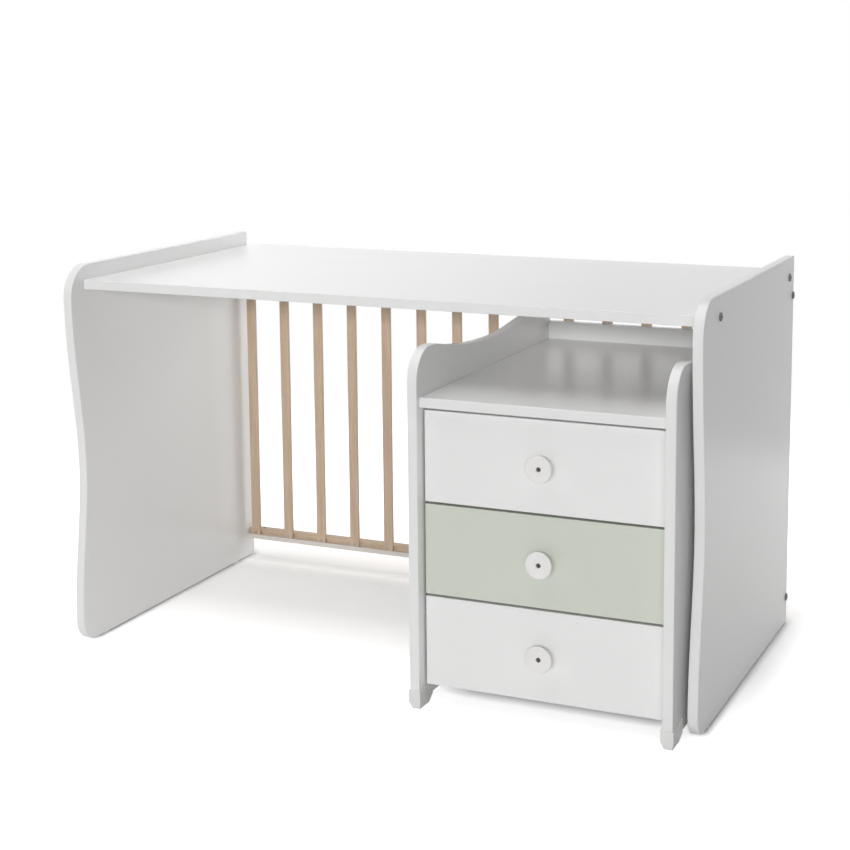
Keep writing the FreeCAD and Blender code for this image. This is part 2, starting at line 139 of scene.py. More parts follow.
# Beech: streaks and fibres along the drawn-out axis of the vector, with short dark flecks
grain = {
    "streakScale": 130.0, "streakDetail": 4.0, "streakWarp": 0.3, "fibreScale": 820.0, "fibreDetail": 3.0,
    "fleckScale": 1350.0, "fleckDetail": 2.0, "fleckRange": (0.6, 0.74), "fleckShare": 0.65,
    "roughness": (0.42, 0.56),
}
beechGrain, given, made = openGroup(
    "beechGrain",
    "ShaderNodeTree",
    {
        "Vector": ("NodeSocketVector", None),
        "Pale": ("NodeSocketColor", (0.62, 0.48, 0.36, 1.0)),
        "Warm": ("NodeSocketColor", (0.52, 0.39, 0.28, 1.0)),
        "Fleck": ("NodeSocketColor", (0.38, 0.26, 0.17, 1.0)),
    },
    {"Color": "NodeSocketColor", "Roughness": "NodeSocketFloat", "Height": "NodeSocketFloat"},
)
where = given.outputs["Vector"]
streak = noise(beechGrain, where, grain["streakScale"], grain["streakDetail"], grain["streakWarp"])
streaks = span(beechGrain, streak, *noiseMiddle, 0.0, 1.0)
fibres = noise(beechGrain, where, grain["fibreScale"], grain["fibreDetail"])
fleck = noise(beechGrain, where, grain["fleckScale"], grain["fleckDetail"])
flecks = span(beechGrain, fleck, *grain["fleckRange"], 0.0, grain["fleckShare"])
bands = mixColour(beechGrain, streaks, given.outputs["Pale"], given.outputs["Warm"])
flecked = mixColour(beechGrain, flecks, bands, given.outputs["Fleck"])
furrows = sumOf(beechGrain, fibres, flecks, "SUBTRACT")
rough = span(beechGrain, fibres, *noiseMiddle, *grain["roughness"])
feed(beechGrain, made, {"Color": flecked, "Roughness": rough, "Height": furrows})


def makeMaterial(name, spec):
    material = bpy.data.materials.new(name)
    material.use_nodes = True
    tree = material.node_tree
    tree.nodes.clear()
    spot = put(tree, "ShaderNodeTexCoord").outputs["Object"]
    if "offset" in spec:  # each slat reads its own stretch of grain
        own = put(tree, "ShaderNodeAttribute", attribute_name=spec["offset"]).outputs["Vector"]
        spot = feed(tree, put(tree, "ShaderNodeVectorMath", operation="ADD"), {0: spot, 1: own}).outputs[0]
    if "stretch" in spec:
        drawnOut = {"Vector": spot, "Scale": spec["stretch"]}
        spot = feed(tree, put(tree, "ShaderNodeMapping"), drawnOut).outputs[0]
    skin = put(tree, "ShaderNodeGroup", node_tree=spec["group"])
    feed(tree, skin, {"Vector": spot, **spec.get("inputs", {})})
    relief = {"Height": skin.outputs["Height"], "Strength": spec["relief"], "Distance": spec["depth"]}
    bump = feed(tree, put(tree, "ShaderNodeBump"), relief)
    surface = put(tree, "ShaderNodeBsdfPrincipled")
    looks = {"Base Color": skin.outputs["Color"], "Roughness": skin.outputs["Roughness"]}
    feed(tree, surface, {**looks, "Normal": bump.outputs["Normal"], **spec.get("shader", {})})
    feed(tree, put(tree, "ShaderNodeOutputMaterial"), {"Surface": surface.outputs["BSDF"]})
    return material


whiteBoard = makeMaterial("whiteBoard", {
    "group": pressedFinish,
    "inputs": {
        "Tone": (0.850, 0.850, 0.846, 1.0), "Shade": (0.836, 0.836, 0.832, 1.0),
        "Peel": 620.0, "Gloss": 0.25, "Matt": 0.265,
    },
    "relief": 0.015,
    "depth": 0.0004,
})
dullBoard = makeMaterial("dullBoard", {
    "group": pressedFinish,
    "inputs": {
        "Tone": (0.850, 0.850, 0.846, 1.0), "Shade": (0.836, 0.836, 0.832, 1.0),
        "Peel": 620.0, "Gloss": 0.28, "Matt": 0.295,
    },
    "relief": 0.015,
    "depth": 0.0004,
})
whiteBand = makeMaterial("whiteBand", {
    "group": pressedFinish,
    "inputs": {
        "Tone": (0.820, 0.820, 0.815, 1.0), "Shade": (0.806, 0.806, 0.801, 1.0),
        "Peel": 900.0, "Gloss": 0.29, "Matt": 0.31,
    },
    "relief": 0.015,
    "depth": 0.0003,
})
greenBoard = makeMaterial("greenBoard", {
    "group": pressedFinish,
    "inputs": {
        "Tone": (0.640, 0.668, 0.590, 1.0), "Shade": (0.628, 0.656, 0.578, 1.0),
        "Peel": 620.0, "Gloss": 0.28, "Matt": 0.295,
    },
    "relief": 0.012,
    "depth": 0.0004,
})
greenBand = makeMaterial("greenBand", {
    "group": pressedFinish,
    "inputs": {
        "Tone": (0.650, 0.678, 0.602, 1.0), "Shade": (0.638, 0.666, 0.590, 1.0),
        "Peel": 900.0, "Gloss": 0.30, "Matt": 0.32,
    },
    "relief": 0.012,
    "depth": 0.0003,
})
beechUpright = makeMaterial("beechUpright", {
    "group": beechGrain,
    "offset": "grainShift",
    "stretch": (1.0, 1.0, 0.06),
    "relief": 0.16,
    "depth": 0.0004,
})
beechLevel = makeMaterial("beechLevel", {
    "group": beechGrain,
    "stretch": (0.06, 1.0, 1.0),
    "relief": 0.16,
    "depth": 0.0004,
})
beechDeep = makeMaterial("beechDeep", {
    "group": beechGrain,
    "stretch": (1.0, 0.06, 1.0),
    "relief": 0.16,
    "depth": 0.0004,
})
paleStrip = makeMaterial("paleStrip", {
    "group": beechGrain,
    "inputs": {
        "Pale": (0.74, 0.70, 0.66, 1.0), "Warm": (0.68, 0.64, 0.60, 1.0),
        "Fleck": (0.60, 0.55, 0.50, 1.0),
    },
    "stretch": (0.06, 1.0, 1.0),
    "relief": 0.12,
    "depth": 0.0003,
})
fibreSheet = makeMaterial("fibreSheet", {
    "group": pressedFinish,
    "inputs": {
        "Tone": (0.76, 0.76, 0.75, 1.0), "Shade": (0.72, 0.72, 0.71, 1.0),
        "Peel": 260.0, "Gloss": 0.42, "Matt": 0.55,
    },
    "relief": 0.012,
    "depth": 0.0005,
})
whitePlastic = makeMaterial("whitePlastic", {
    "group": pressedFinish,
    "inputs": {
        "Tone": (0.79, 0.785, 0.775, 1.0), "Shade": (0.765, 0.76, 0.75, 1.0),
        "Peel": 1500.0, "Gloss": 0.34, "Matt": 0.44,
    },
    "relief": 0.012,
    "depth": 0.0002,
})
knobPlastic = makeMaterial("knobPlastic", {
    "group": pressedFinish,
    "inputs": {
        "Tone": (0.84, 0.83, 0.815, 1.0), "Shade": (0.825, 0.815, 0.80, 1.0),
        "Peel": 1300.0, "Gloss": 0.28, "Matt": 0.30,
    },
    "relief": 0.012,
    "depth": 0.0002,
})
# Steel toned far darker than bright steel: painted shade for the knob screws deep in their seats and painted
# dark reflections on the bolt heads
darkSteel = makeMaterial("darkSteel", {
    "group": pressedFinish,
    "inputs": {
        "Tone": (0.16, 0.16, 0.165, 1.0), "Shade": (0.12, 0.12, 0.125, 1.0),
        "Peel": 2200.0, "Gloss": 0.16, "Matt": 0.22,
    },
    "relief": 0.05,
    "depth": 0.0001,
    "shader": {"Metallic": 1.0},
})
zincSteel = makeMaterial("zincSteel", {
    "group": pressedFinish,
    "inputs": {
        "Tone": (0.46, 0.46, 0.45, 1.0), "Shade": (0.36, 0.36, 0.355, 1.0),
        "Peel": 2200.0, "Gloss": 0.30, "Matt": 0.42,
    },
    "relief": 0.12,
    "depth": 0.0001,
    "shader": {"Metallic": 1.0},
})
print("materials:", len(bpy.data.materials))


def settle(piece):
    depsgraph = bpy.context.evaluated_depsgraph_get()
    mesh = bpy.data.meshes.new_from_object(piece.evaluated_get(depsgraph), depsgraph=depsgraph)
    piece.modifiers.clear()
    piece.data = mesh
    mesh.name = piece.name
    return piece


def place(piece, body, replaced):
    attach(piece, body)
    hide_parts(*replaced)
    return piece


def linkMesh(name, bm):
    mesh = bpy.data.meshes.new(name)
    bm.to_mesh(mesh)
    bm.free()
    piece = bpy.data.objects.new(name, mesh)
    scene.collection.objects.link(piece)
    return piece


def outlineEdges(bm, sharpAngle, holeRim):
    # edges of the outline, without the rims of the fastening holes
    sharp = {e for e in bm.edges if e.is_manifold and e.calc_face_angle() > sharpAngle}
    kept = []
    while sharp:
        chain = {sharp.pop()}
        fresh = set(chain)
        while fresh:
            touching = {e for f in fresh for v in f.verts for e in v.link_edges}
            fresh = touching & sharp
            sharp -= fresh
            chain |= fresh
        if sum(e.calc_length() for e in chain) > holeRim:
            kept += chain
    return kept


softening = {
    "weld": 1e-5, "flat": math.radians(0.3), "sharp": math.radians(40), "holeRim": 0.12,
    "steps": 3, "roundness": 0.5, "faceOn": 0.99, "level": 0.999,
}


def softBoard(name, spec):
    bm = bmesh.new()
    bm.from_mesh(nodes[spec["node"]].data)
    bmesh.ops.remove_doubles(bm, verts=bm.verts[:], dist=softening["weld"])
    bmesh.ops.dissolve_limit(bm, angle_limit=softening["flat"], verts=bm.verts[:], edges=bm.edges[:])
    bm.normal_update()
    edges = outlineEdges(bm, softening["sharp"], softening["holeRim"])
    bmesh.ops.bevel(
        bm, geom=edges, offset=spec["soft"], segments=softening["steps"],
        profile=softening["roundness"], affect="EDGES", clamp_overlap=False, material=-1,
    )
    low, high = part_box(spec["node"])
    for vert in bm.verts:  # nothing leaves the solid's own box
        vert.co = [min(max(c, least), most) for c, least, most in zip(vert.co, low, high)]
    bm.normal_update()
    for face in bm.faces:
        face.smooth = True
        face.material_index = 0 if abs(face.normal[spec["thin"]]) > softening["faceOn"] else 1
    piece = linkMesh(name, bm)
    piece.data.materials.append(spec["face"])
    piece.data.materials.append(spec["band"])
    piece.data.set_sharp_from_angle(angle=softening["sharp"])
    weighted = piece.modifiers.new("faceNormals", "WEIGHTED_NORMAL")
    weighted.keep_sharp = True
    settle(piece)
    return place(piece, nodes[spec["node"]]["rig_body"], [spec["node"]])


alongX, alongY, alongZ = 0, 1, 2
whiteLooks = {"face": whiteBoard, "band": whiteBand, "slot": "white_board"}
dullLooks = {"face": dullBoard, "band": whiteBand, "slot": "white_board"}
greenLooks = {"face": greenBoard, "band": greenBand, "slot": "green_board"}
railLooks = {"face": beechLevel, "band": beechLevel, "slot": "beech"}
battenLooks = {"face": beechDeep, "band": beechDeep, "slot": "beech"}
stripLooks = {"face": paleStrip, "band": paleStrip, "slot": "pale_strip"}
sheetLooks = {"face": fibreSheet, "band": fibreSheet, "slot": "fibreboard"}
bootLooks = {"face": whitePlastic, "band": whitePlastic, "slot": "white_plastic"}

# The desk: end panels, top and rails
leftPanel = {"node": "left_end_panel", "thin": alongX, "soft": 0.0016, **whiteLooks}
rightPanel = {"node": "right_end_panel", "thin": alongX, "soft": 0.0016, **whiteLooks}
deskBoard = {"node": "desk_top", "thin": alongZ, "soft": 0.0012, **whiteLooks}
lowerRail = {"node": "rail_bottom", "thin": alongX, "soft": 0.0018, **railLooks}
upperRail = {"node": "rail_top", "thin": alongX, "soft": 0.0018, **railLooks}
sillStrip = {"node": "rail_sill", "thin": alongX, "soft": 0.0010, **stripLooks}
softBoard("leftPanel", leftPanel)
softBoard("rightPanel", rightPanel)
softBoard("deskBoard", deskBoard)
softBoard("lowerRail", lowerRail)
softBoard("upperRail", upperRail)
softBoard("sillStrip", sillStrip)
print("desk boards done")

# The chest: sides, changing top, back and base boards, feet and battens
chestLeftSide = {"node": "chest_left_side", "thin": alongX, "soft": 0.0016, **whiteLooks}
chestRightSide = {"node": "chest_right_side", "thin": alongX, "soft": 0.0016, **whiteLooks}
changingTop = {"node": "chest_top", "thin": alongZ, "soft": 0.0018, **dullLooks}
raisedBackRail = {"node": "chest_back_rail", "thin": alongY, "soft": 0.0012, **whiteLooks}
backSheet = {"node": "chest_back_panel", "thin": alongY, "soft": 0.0003, **sheetLooks}
baseStretcher = {"node": "chest_stretcher", "thin": alongY, "soft": 0.0008, **whiteLooks}
chestFeet = {"node": "chest_feet", "thin": alongZ, "soft": 0.0007, **bootLooks}
runnerBattens = {"node": "chest_runners", "thin": alongX, "soft": 0.0008, **battenLooks}
softBoard("chestLeftSide", chestLeftSide)
softBoard("chestRightSide", chestRightSide)
softBoard("changingTop", changingTop)
softBoard("raisedBackRail", raisedBackRail)
softBoard("backSheet", backSheet)
softBoard("baseStretcher", baseStretcher)
feetPiece = softBoard("chestFeet", chestFeet)
softBoard("runnerBattens", runnerBattens)
print("chest boards done")


def spinProfile(name, profile, centre, outward, turns):
    # turns a profile of (radius, reach) about an axis through the centre
    bm = bmesh.new()
    rings = []
    for radius, reach in profile:
        ring = []
        for step in range(turns if radius > 0 else 1):
            angle = 2 * math.pi * step / turns
            across = Vector((math.cos(angle), 0.0, math.sin(angle))) * radius
            ring.append(bm.verts.new(Vector(centre) + across + Vector(outward) * reach))
        rings.append(ring)
    for inner, outer in zip(rings, rings[1:]):
        for step in range(turns):
            after = (step + 1) % turns
            corners = [inner[step % len(inner)], inner[after % len(inner)]]
            corners += [outer[after % len(outer)], outer[step % len(outer)]]
            bm.faces.new(list(dict.fromkeys(corners)))
    bmesh.ops.recalc_face_normals(bm, faces=bm.faces[:])
    for face in bm.faces:
        face.smooth = True
    piece = linkMesh(name, bm)
    piece.data.set_sharp_from_angle(angle=softening["sharp"])
    return piece


def quarter(centre, radius, fromTurn, toTurn, steps=4):
    # points on an arc between two turns in degrees
    angles = [math.radians(fromTurn + (toTurn - fromTurn) * i / steps) for i in range(steps + 1)]
    return [(centre[0] + radius * math.cos(a), centre[1] + radius * math.sin(a)) for a in angles]


# A knob: neck, disc with rounded rim, shallow dish and a deep seat for its screw, as (radius, reach)
knob = {
    "neck": 0.009, "radius": 0.0235, "reach": 0.020, "back": 0.015, "round": 0.0016, "rim": 0.0203,
    "dish": 0.0012, "dishSteps": 6, "lip": 0.0004, "lipSteps": 3, "seat": 0.0043, "seatFloor": 0.0155,
    "turns": 64,
}


def knobProfile(k):
    turnIn = k["radius"] - k["round"]
    profile = [(0.0, 0.0), (k["neck"], 0.0), (k["neck"], k["back"] - k["round"])]
    profile += quarter((k["neck"] + k["round"], k["back"] - k["round"]), k["round"], 180, 90)[1:]
    profile += quarter((turnIn, k["back"] + k["round"]), k["round"], -90, 0)
    profile += quarter((turnIn, k["reach"] - k["round"]), k["round"], 0, 90)
    for step in range(k["dishSteps"] + 1):  # from the rim down into the dish
        share = step / k["dishSteps"]
        radius = k["rim"] + (k["seat"] + k["lip"] - k["rim"]) * share
        profile.append((radius, k["reach"] - k["dish"] * (1 - (1 - share) ** 2)))
    lipCentre = (k["seat"] + k["lip"], k["reach"] - k["dish"] - k["lip"])
    profile += quarter(lipCentre, k["lip"], 90, 180, k["lipSteps"])[1:]
    profile += [(k["seat"], k["seatFloor"]), (0.0, k["seatFloor"])]
    return profile


# Screw and bolt heads: rings from the skirt to the crown as (share of radius, height),
# and the driver's recess
crossHalf, crossArm = 0.13, 0.52
crossKey = [
    (crossHalf, crossHalf), (crossHalf, crossArm), (-crossHalf, crossArm), (-crossHalf, crossHalf),
    (-crossArm, crossHalf), (-crossArm, -crossHalf), (-crossHalf, -crossHalf), (-crossHalf, -crossArm),
    (crossHalf, -crossArm), (crossHalf, -crossHalf), (crossArm, -crossHalf), (crossArm, crossHalf),
]
hexReach, hexSides = 0.36, 6
hexTurns = [2 * math.pi * i / hexSides for i in range(hexSides)]
hexKey = [(hexReach * math.cos(t), hexReach * math.sin(t)) for t in hexTurns]
sunkHead = {
    "crown": [(1.0, -0.30), (1.0, 0.03), (0.94, 0.075), (0.70, 0.09)],
    "key": crossKey, "keyDepth": 0.34, "sides": 20,
}
panHead = {
    "crown": [(1.0, -0.50), (1.0, 0.10), (0.93, 0.26), (0.78, 0.36), (0.62, 0.40)],
    "key": crossKey, "keyDepth": 0.42, "sides": 20,
}
buttonHead = {
    "crown": [(1.0, -0.02), (1.0, 0.21), (0.94, 0.30), (0.82, 0.36), (0.62, 0.39), (0.48, 0.395)],
    "key": hexKey, "keyDepth": 0.24, "sides": 24,
}


def headShape(name, spec):
    bm = bmesh.new()
    sides = spec["sides"]
    turns = [2 * math.pi * i / sides for i in range(sides)]
    rings = [[bm.verts.new((s * math.cos(t), s * math.sin(t), h)) for t in turns] for s, h in spec["crown"]]
    for low, high in zip(rings, rings[1:]):
        for i in range(sides):
            j = (i + 1) % sides
            bm.faces.new((low[i], low[j], high[j], high[i]))
    bm.faces.new(list(reversed(rings[0])))
    crown = spec["crown"][-1][1]
    lip = [bm.verts.new((x, y, crown)) for x, y in spec["key"]]
    pit = [bm.verts.new((x, y, crown - spec["keyDepth"])) for x, y in spec["key"]]
    count = len(lip)
    for i in range(count):
        j = (i + 1) % count
        bm.faces.new((lip[i], lip[j], pit[j], pit[i]))
    bm.faces.new(pit)
    around = [bm.edges.get((rings[-1][i], rings[-1][(i + 1) % sides])) for i in range(sides)]
    around += [bm.edges.get((lip[i], lip[(i + 1) % count])) for i in range(count)]
    bmesh.ops.triangle_fill(bm, use_beauty=True, edges=around, normal=(0, 0, 1))
    bmesh.ops.recalc_face_normals(bm, faces=bm.faces[:])
    for face in bm.faces:
        face.smooth = abs(face.normal.z) < softening["level"]
    head = linkMesh(name, bm)
    head.data.set_sharp_from_angle(angle=softening["sharp"])
    return head


# Sets a head at each point, turned to face the point's own direction and spun at random about it
headSet, given, made = openGroup(
    "headSet",
    "GeometryNodeTree",
    {
        "Points": ("NodeSocketGeometry", None),
        "Head": ("NodeSocketObject", None),
        "Radius": ("NodeSocketFloat", 0.004),
        "Seed": ("NodeSocketInt", 3),
        "Finish": ("NodeSocketMaterial", None),
    },
    {"Geometry": "NodeSocketGeometry"},
)
facing = put(headSet, "GeometryNodeInputNamedAttribute", data_type="FLOAT_VECTOR")
feed(headSet, facing, {"Name": "facing"})
aimed = put(headSet, "FunctionNodeAlignRotationToVector", axis="Z")
feed(headSet, aimed, {"Vector": facing.outputs["Attribute"]})
spin = put(headSet, "FunctionNodeRandomValue", data_type="FLOAT")
feed(headSet, spin, {2: 0.0, 3: 2 * math.pi, "Seed": given.outputs["Seed"]})
about = put(headSet, "FunctionNodeAxisAngleToRotation")
feed(headSet, about, {"Axis": (0.0, 0.0, 1.0), "Angle": spin.outputs[1]})
turned = put(headSet, "FunctionNodeRotateRotation", rotation_space="LOCAL")
feed(headSet, turned, {0: aimed.outputs[0], 1: about.outputs[0]})
source = put(headSet, "GeometryNodeObjectInfo", transform_space="ORIGINAL")
feed(headSet, source, {"Object": given.outputs["Head"]})
copies = put(headSet, "GeometryNodeInstanceOnPoints")
feed(headSet, copies, {
    "Points": given.outputs["Points"],
    "Instance": source.outputs["Geometry"],
    "Rotation": turned.outputs[0],
    "Scale": given.outputs["Radius"],
})
solid = feed(headSet, put(headSet, "GeometryNodeRealizeInstances"), {0: copies.outputs[0]})
coated = put(headSet, "GeometryNodeSetMaterial")
feed(headSet, coated, {"Geometry": solid.outputs[0], "Material": given.outputs["Finish"]})
feed(headSet, made, {0: coated.outputs[0]})

# A row of upright slats between two levels, with rounded long edges and a grain shift for each
edgeSteps = 4
shiftReach = (1.0, 1.0, 4.0)
slatRow, given, made = openGroup(
    "slatRow",
    "GeometryNodeTree",
    {
        "Start": ("NodeSocketGeometry", None),
        "Count": ("NodeSocketInt", 15),
        "First": ("NodeSocketVector", (0.0, 0.0, 0.0)),
        "Step": ("NodeSocketVector", (0.08, 0.0, 0.0)),
        "Width": ("NodeSocketFloat", 0.021),
        "Thickness": ("NodeSocketFloat", 0.008),
        "Length": ("NodeSocketFloat", 0.6),
        "Round": ("NodeSocketFloat", 0.0018),
        "Seed": ("NodeSocketInt", 5),
        "Finish": ("NodeSocketMaterial", None),
    },
    {"Geometry": "NodeSocketGeometry"},
)
section = put(slatRow, "GeometryNodeCurvePrimitiveQuadrilateral", mode="RECTANGLE")
feed(slatRow, section, {"Width": given.outputs["Width"], "Height": given.outputs["Thickness"]})
eased = put(slatRow, "GeometryNodeFilletCurve", mode="POLY")
feed(slatRow, eased, {"Curve": section.outputs[0], "Count": edgeSteps, "Radius": given.outputs["Round"]})
rise = feed(slatRow, put(slatRow, "ShaderNodeCombineXYZ"), {"Z": given.outputs["Length"]})
spine = put(slatRow, "GeometryNodeCurvePrimitiveLine")
feed(slatRow, spine, {"Start": (0.0, 0.0, 0.0), "End": rise.outputs[0]})
upright = put(slatRow, "GeometryNodeSetCurveNormal", mode="FREE")
feed(slatRow, upright, {"Curve": spine.outputs[0], "Normal": (1.0, 0.0, 0.0)})
swept = put(slatRow, "GeometryNodeCurveToMesh")
feed(slatRow, swept, {"Curve": upright.outputs[0], "Profile Curve": eased.outputs[0], "Fill Caps": True})
points = put(slatRow, "GeometryNodeMeshLine", mode="OFFSET")
feed(slatRow, points, {
    "Count": given.outputs["Count"],
    "Start Location": given.outputs["First"],
    "Offset": given.outputs["Step"],
})
copies = put(slatRow, "GeometryNodeInstanceOnPoints")
feed(slatRow, copies, {"Points": points.outputs[0], "Instance": swept.outputs[0]})
shift = put(slatRow, "FunctionNodeRandomValue", data_type="FLOAT_VECTOR")
feed(slatRow, shift, {0: [-reach for reach in shiftReach], 1: shiftReach, "Seed": given.outputs["Seed"]})
stored = put(slatRow, "GeometryNodeStoreNamedAttribute", data_type="FLOAT_VECTOR", domain="INSTANCE")
feed(slatRow, stored, {"Geometry": copies.outputs[0], "Name": "grainShift", "Value": shift.outputs[0]})
solid = feed(slatRow, put(slatRow, "GeometryNodeRealizeInstances"), {0: stored.outputs[0]})
coated = put(slatRow, "GeometryNodeSetMaterial")
feed(slatRow, coated, {"Geometry": solid.outputs[0], "Material": given.outputs["Finish"]})
feed(slatRow, made, {0: coated.outputs[0]})


def grow(name, tree, mesh, values):
    piece = bpy.data.objects.new(name, mesh)
    scene.collection.objects.link(piece)
    modifier = piece.modifiers.new(tree.name, "NODES")
    modifier.node_group = tree
    for item in tree.interface.items_tree:
        if item.in_out == "INPUT" and item.name in values:
            modifier[item.identifier] = values[item.name]
    return settle(piece)


def headPoints(name, places):
    # a mesh of loose points, each with the direction that its head faces
    mesh = bpy.data.meshes.new(name)
    mesh.from_pydata([p for p, _ in places], [], [])
    facing = mesh.attributes.new("facing", "FLOAT_VECTOR", "POINT")
    for item, (_, way) in zip(facing.data, places):
        item.vector = way
    return mesh


def setHeads(name, head, places, spec, finish):
    values = {"Head": head, "Radius": spec["radius"], "Seed": spec["seed"], "Finish": finish}
    return grow(name, headSet, headPoints(name + "Points", places), values)


# Fifteen slats with a screw near each end
slats = {"count": 15, "round": 0.0018, "seed": 5}
slatNodes = ["slat_%02d" % (i + 1) for i in range(slats["count"])]
firstLow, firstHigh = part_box(slatNodes[0])
lastLow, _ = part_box(slatNodes[-1])
firstMiddle = (firstLow + firstHigh) / 2
slatStep = (lastLow.x - firstLow.x) / (slats["count"] - 1)
slatPiece = grow("slatRow", slatRow, bpy.data.meshes.new("slatStart"), {
    "Count": slats["count"],
    "First": (firstMiddle.x, firstMiddle.y, firstLow.z),
    "Step": (slatStep, 0.0, 0.0),
    "Width": firstHigh.x - firstLow.x,
    "Thickness": firstHigh.y - firstLow.y,
    "Length": firstHigh.z - firstLow.z,
    "Round": slats["round"],
    "Seed": slats["seed"],
    "Finish": beechUpright,
})
for polygon in slatPiece.data.polygons:
    polygon.use_smooth = True
slatPiece.data.set_sharp_from_angle(angle=softening["sharp"])
place(slatPiece, "desk", slatNodes)
print("slats", [round(v, 4) for v in slatPiece.dimensions])

slatScrews = {"radius": 0.0032, "rise": 0.0045, "seed": 11}
screwLevels = (firstLow.z + slatScrews["rise"], firstHigh.z - slatScrews["rise"])
slatMiddles = [firstMiddle.x + slatStep * i for i in range(slats["count"])]
screwPlaces = [((x, firstLow.y, z), (0.0, -1.0, 0.0)) for x in slatMiddles for z in screwLevels]
sunkShape = headShape("sunkShape", sunkHead)
panShape = headShape("panShape", panHead)
buttonShape = headShape("buttonShape", buttonHead)
slatScrewRow = setHeads("slatScrewRow", sunkShape, screwPlaces, slatScrews, zincSteel)
place(slatScrewRow, "desk", ["slat_screws"])


def solidBoxes(name):
    # the two corners of each separate solid in a node
    bm = bmesh.new()
    bm.from_mesh(nodes[name].data)
    bmesh.ops.remove_doubles(bm, verts=bm.verts[:], dist=softening["weld"])
    waiting = set(bm.verts)
    boxes = []
    while waiting:
        solid = {waiting.pop()}
        fresh = set(solid)
        while fresh:
            fresh = {e.other_vert(v) for v in fresh for e in v.link_edges} & waiting
            waiting -= fresh
            solid |= fresh
        spots = [v.co for v in solid]
        boxes.append((Vector([min(c) for c in zip(*spots)]), Vector([max(c) for c in zip(*spots)])))
    bm.free()
    return sorted(boxes, key=lambda box: [round(c, 4) for c in box[0]])


def headPlace(low, high, way, setBack=0.0):
    # the middle of a solid's end along X, set back by the height of a raised head
    middle = (low + high) / 2
    return ((high.x if way > 0 else low.x) - way * setBack, middle.y, middle.z), (way, 0.0, 0.0)


# Button-head bolts through the end panels
frameBolts = {"radius": 0.0075, "height": 0.003, "seed": 17}
boltPlaces = [
    headPlace(low, high, math.copysign(1.0, low.x), frameBolts["height"])
    for low, high in solidBoxes("frame_bolts")
]
# the bolt heads' dark tone is painted dark reflection
boltSet = setHeads("frameBoltSet", buttonShape, boltPlaces, frameBolts, darkSteel)
place(boltSet, "desk", ["frame_bolts"])

# Chest screws: flush heads on the sides' outer faces and on the runner battens
chestScrews = {"radius": 0.005, "longerThan": 0.03, "seed": 23}
battenScrews = {"radius": 0.0032, "seed": 29}
trayLow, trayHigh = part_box("chest_top")
trayMiddle = (trayLow.x + trayHigh.x) / 2
sidePlaces, battenPlaces = [], []
for low, high in solidBoxes("chest_screws"):
    way = math.copysign(1.0, low.x - trayMiddle)
    if high.x - low.x > chestScrews["longerThan"]:
        sidePlaces.append(headPlace(low, high, way))
    else:
        battenPlaces.append(headPlace(low, high, -way))
chestScrewSet = setHeads("chestScrewSet", sunkShape, sidePlaces, chestScrews, zincSteel)
place(chestScrewSet, "chest", ["chest_screws"])
battenScrewSet = setHeads("battenScrewSet", sunkShape, battenPlaces, battenScrews, zincSteel)
place(battenScrewSet, "chest", ["chest_screws"])
print("fastenings done")

# Drawers: a face board, three walls, a thin floor, a knob and its screw
drawerLooks = {"bottom": whiteLooks, "middle": greenLooks, "top": whiteLooks}
drawerBoards = {
    "front": {"thin": alongY, "soft": 0.0014},
    "left": {"thin": alongX, "soft": 0.0006},
    "right": {"thin": alongX, "soft": 0.0006},
    "back": {"thin": alongY, "soft": 0.0006},
    "floor": {"thin": alongZ, "soft": 0.0003},
}
knobScrew = {"radius": 0.0039, "sunk": 0.0040, "seed": 31}

for drawer, faceLooks in drawerLooks.items():
    stem = "drawer_" + drawer
    title = "drawer" + drawer.capitalize()
    for part, shape in drawerBoards.items():
        looks = {"front": faceLooks, "floor": sheetLooks}.get(part, whiteLooks)
        softBoard(title + part.capitalize(), {"node": stem + "_" + part, **shape, **looks})
    low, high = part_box(stem + "_knob")
    middle = ((low.x + high.x) / 2, high.y, (low.z + high.z) / 2)
    knobPiece = spinProfile(title + "Knob", knobProfile(knob), middle, (0.0, -1.0, 0.0), knob["turns"])
    knobPiece.data.materials.append(knobPlastic)
    place(knobPiece, stem, [stem + "_knob"])
    headAt = ((middle[0], low.y + knobScrew["sunk"], middle[2]), (0.0, -1.0, 0.0))
    # the screw's dark tone is painted shade of its seat
    screwPiece = setHeads(title + "KnobScrew", panShape, [headAt], knobScrew, darkSteel)
    place(screwPiece, stem, [stem + "_knob_screw"])
print("drawers done")

for shape in (sunkShape, panShape, buttonShape):
    bpy.data.objects.remove(shape)

# Nodes shown as they are: hidden dowels, barrel nuts and the glides under the panels
shownNodes = {
    "barrel_nuts": zincSteel,
    "panel_glides": whitePlastic,
    "drawer_bottom_dowels": beechLevel,
    "drawer_middle_dowels": beechLevel,
    "drawer_top_dowels": beechLevel,
}
for name, material in shownNodes.items():
    nodes[name].data.materials.clear()
    nodes[name].data.materials.append(material)

# Camera, from the photograph's vanishing lines
photoCamera = {
    "eye": (1.3368, -2.92135, 1.1479),
    "yaw": math.radians(23.75),
    "tilt": math.radians(8.579),
    "roll": math.radians(-0.383),
    "lens": 72.457,
    "sensor": 36.0,
    "shift": (-0.0353, -0.1471),
}


def aimCamera(spec):
    yaw, tilt, roll = spec["yaw"], spec["tilt"], spec["roll"]
    ahead = Vector((-math.sin(yaw) * math.cos(tilt), math.cos(yaw) * math.cos(tilt), -math.sin(tilt)))
    right = Vector((math.cos(yaw), math.sin(yaw), 0.0))
    up = right.cross(ahead)
    rolledRight = right * math.cos(roll) + up * math.sin(roll)
    rolledUp = up * math.cos(roll) - right * math.sin(roll)
    data = bpy.data.cameras.new("photoCamera")
    data.lens = spec["lens"]
    data.sensor_width = spec["sensor"]
    data.shift_x, data.shift_y = spec["shift"]
    camera = bpy.data.objects.new("photoCamera", data)
    scene.collection.objects.link(camera)
    turn = Matrix((rolledRight, rolledUp, -ahead)).transposed().to_4x4()
    camera.matrix_world = Matrix.Translation(spec["eye"]) @ turn
    scene.camera = camera


aimCamera(photoCamera)

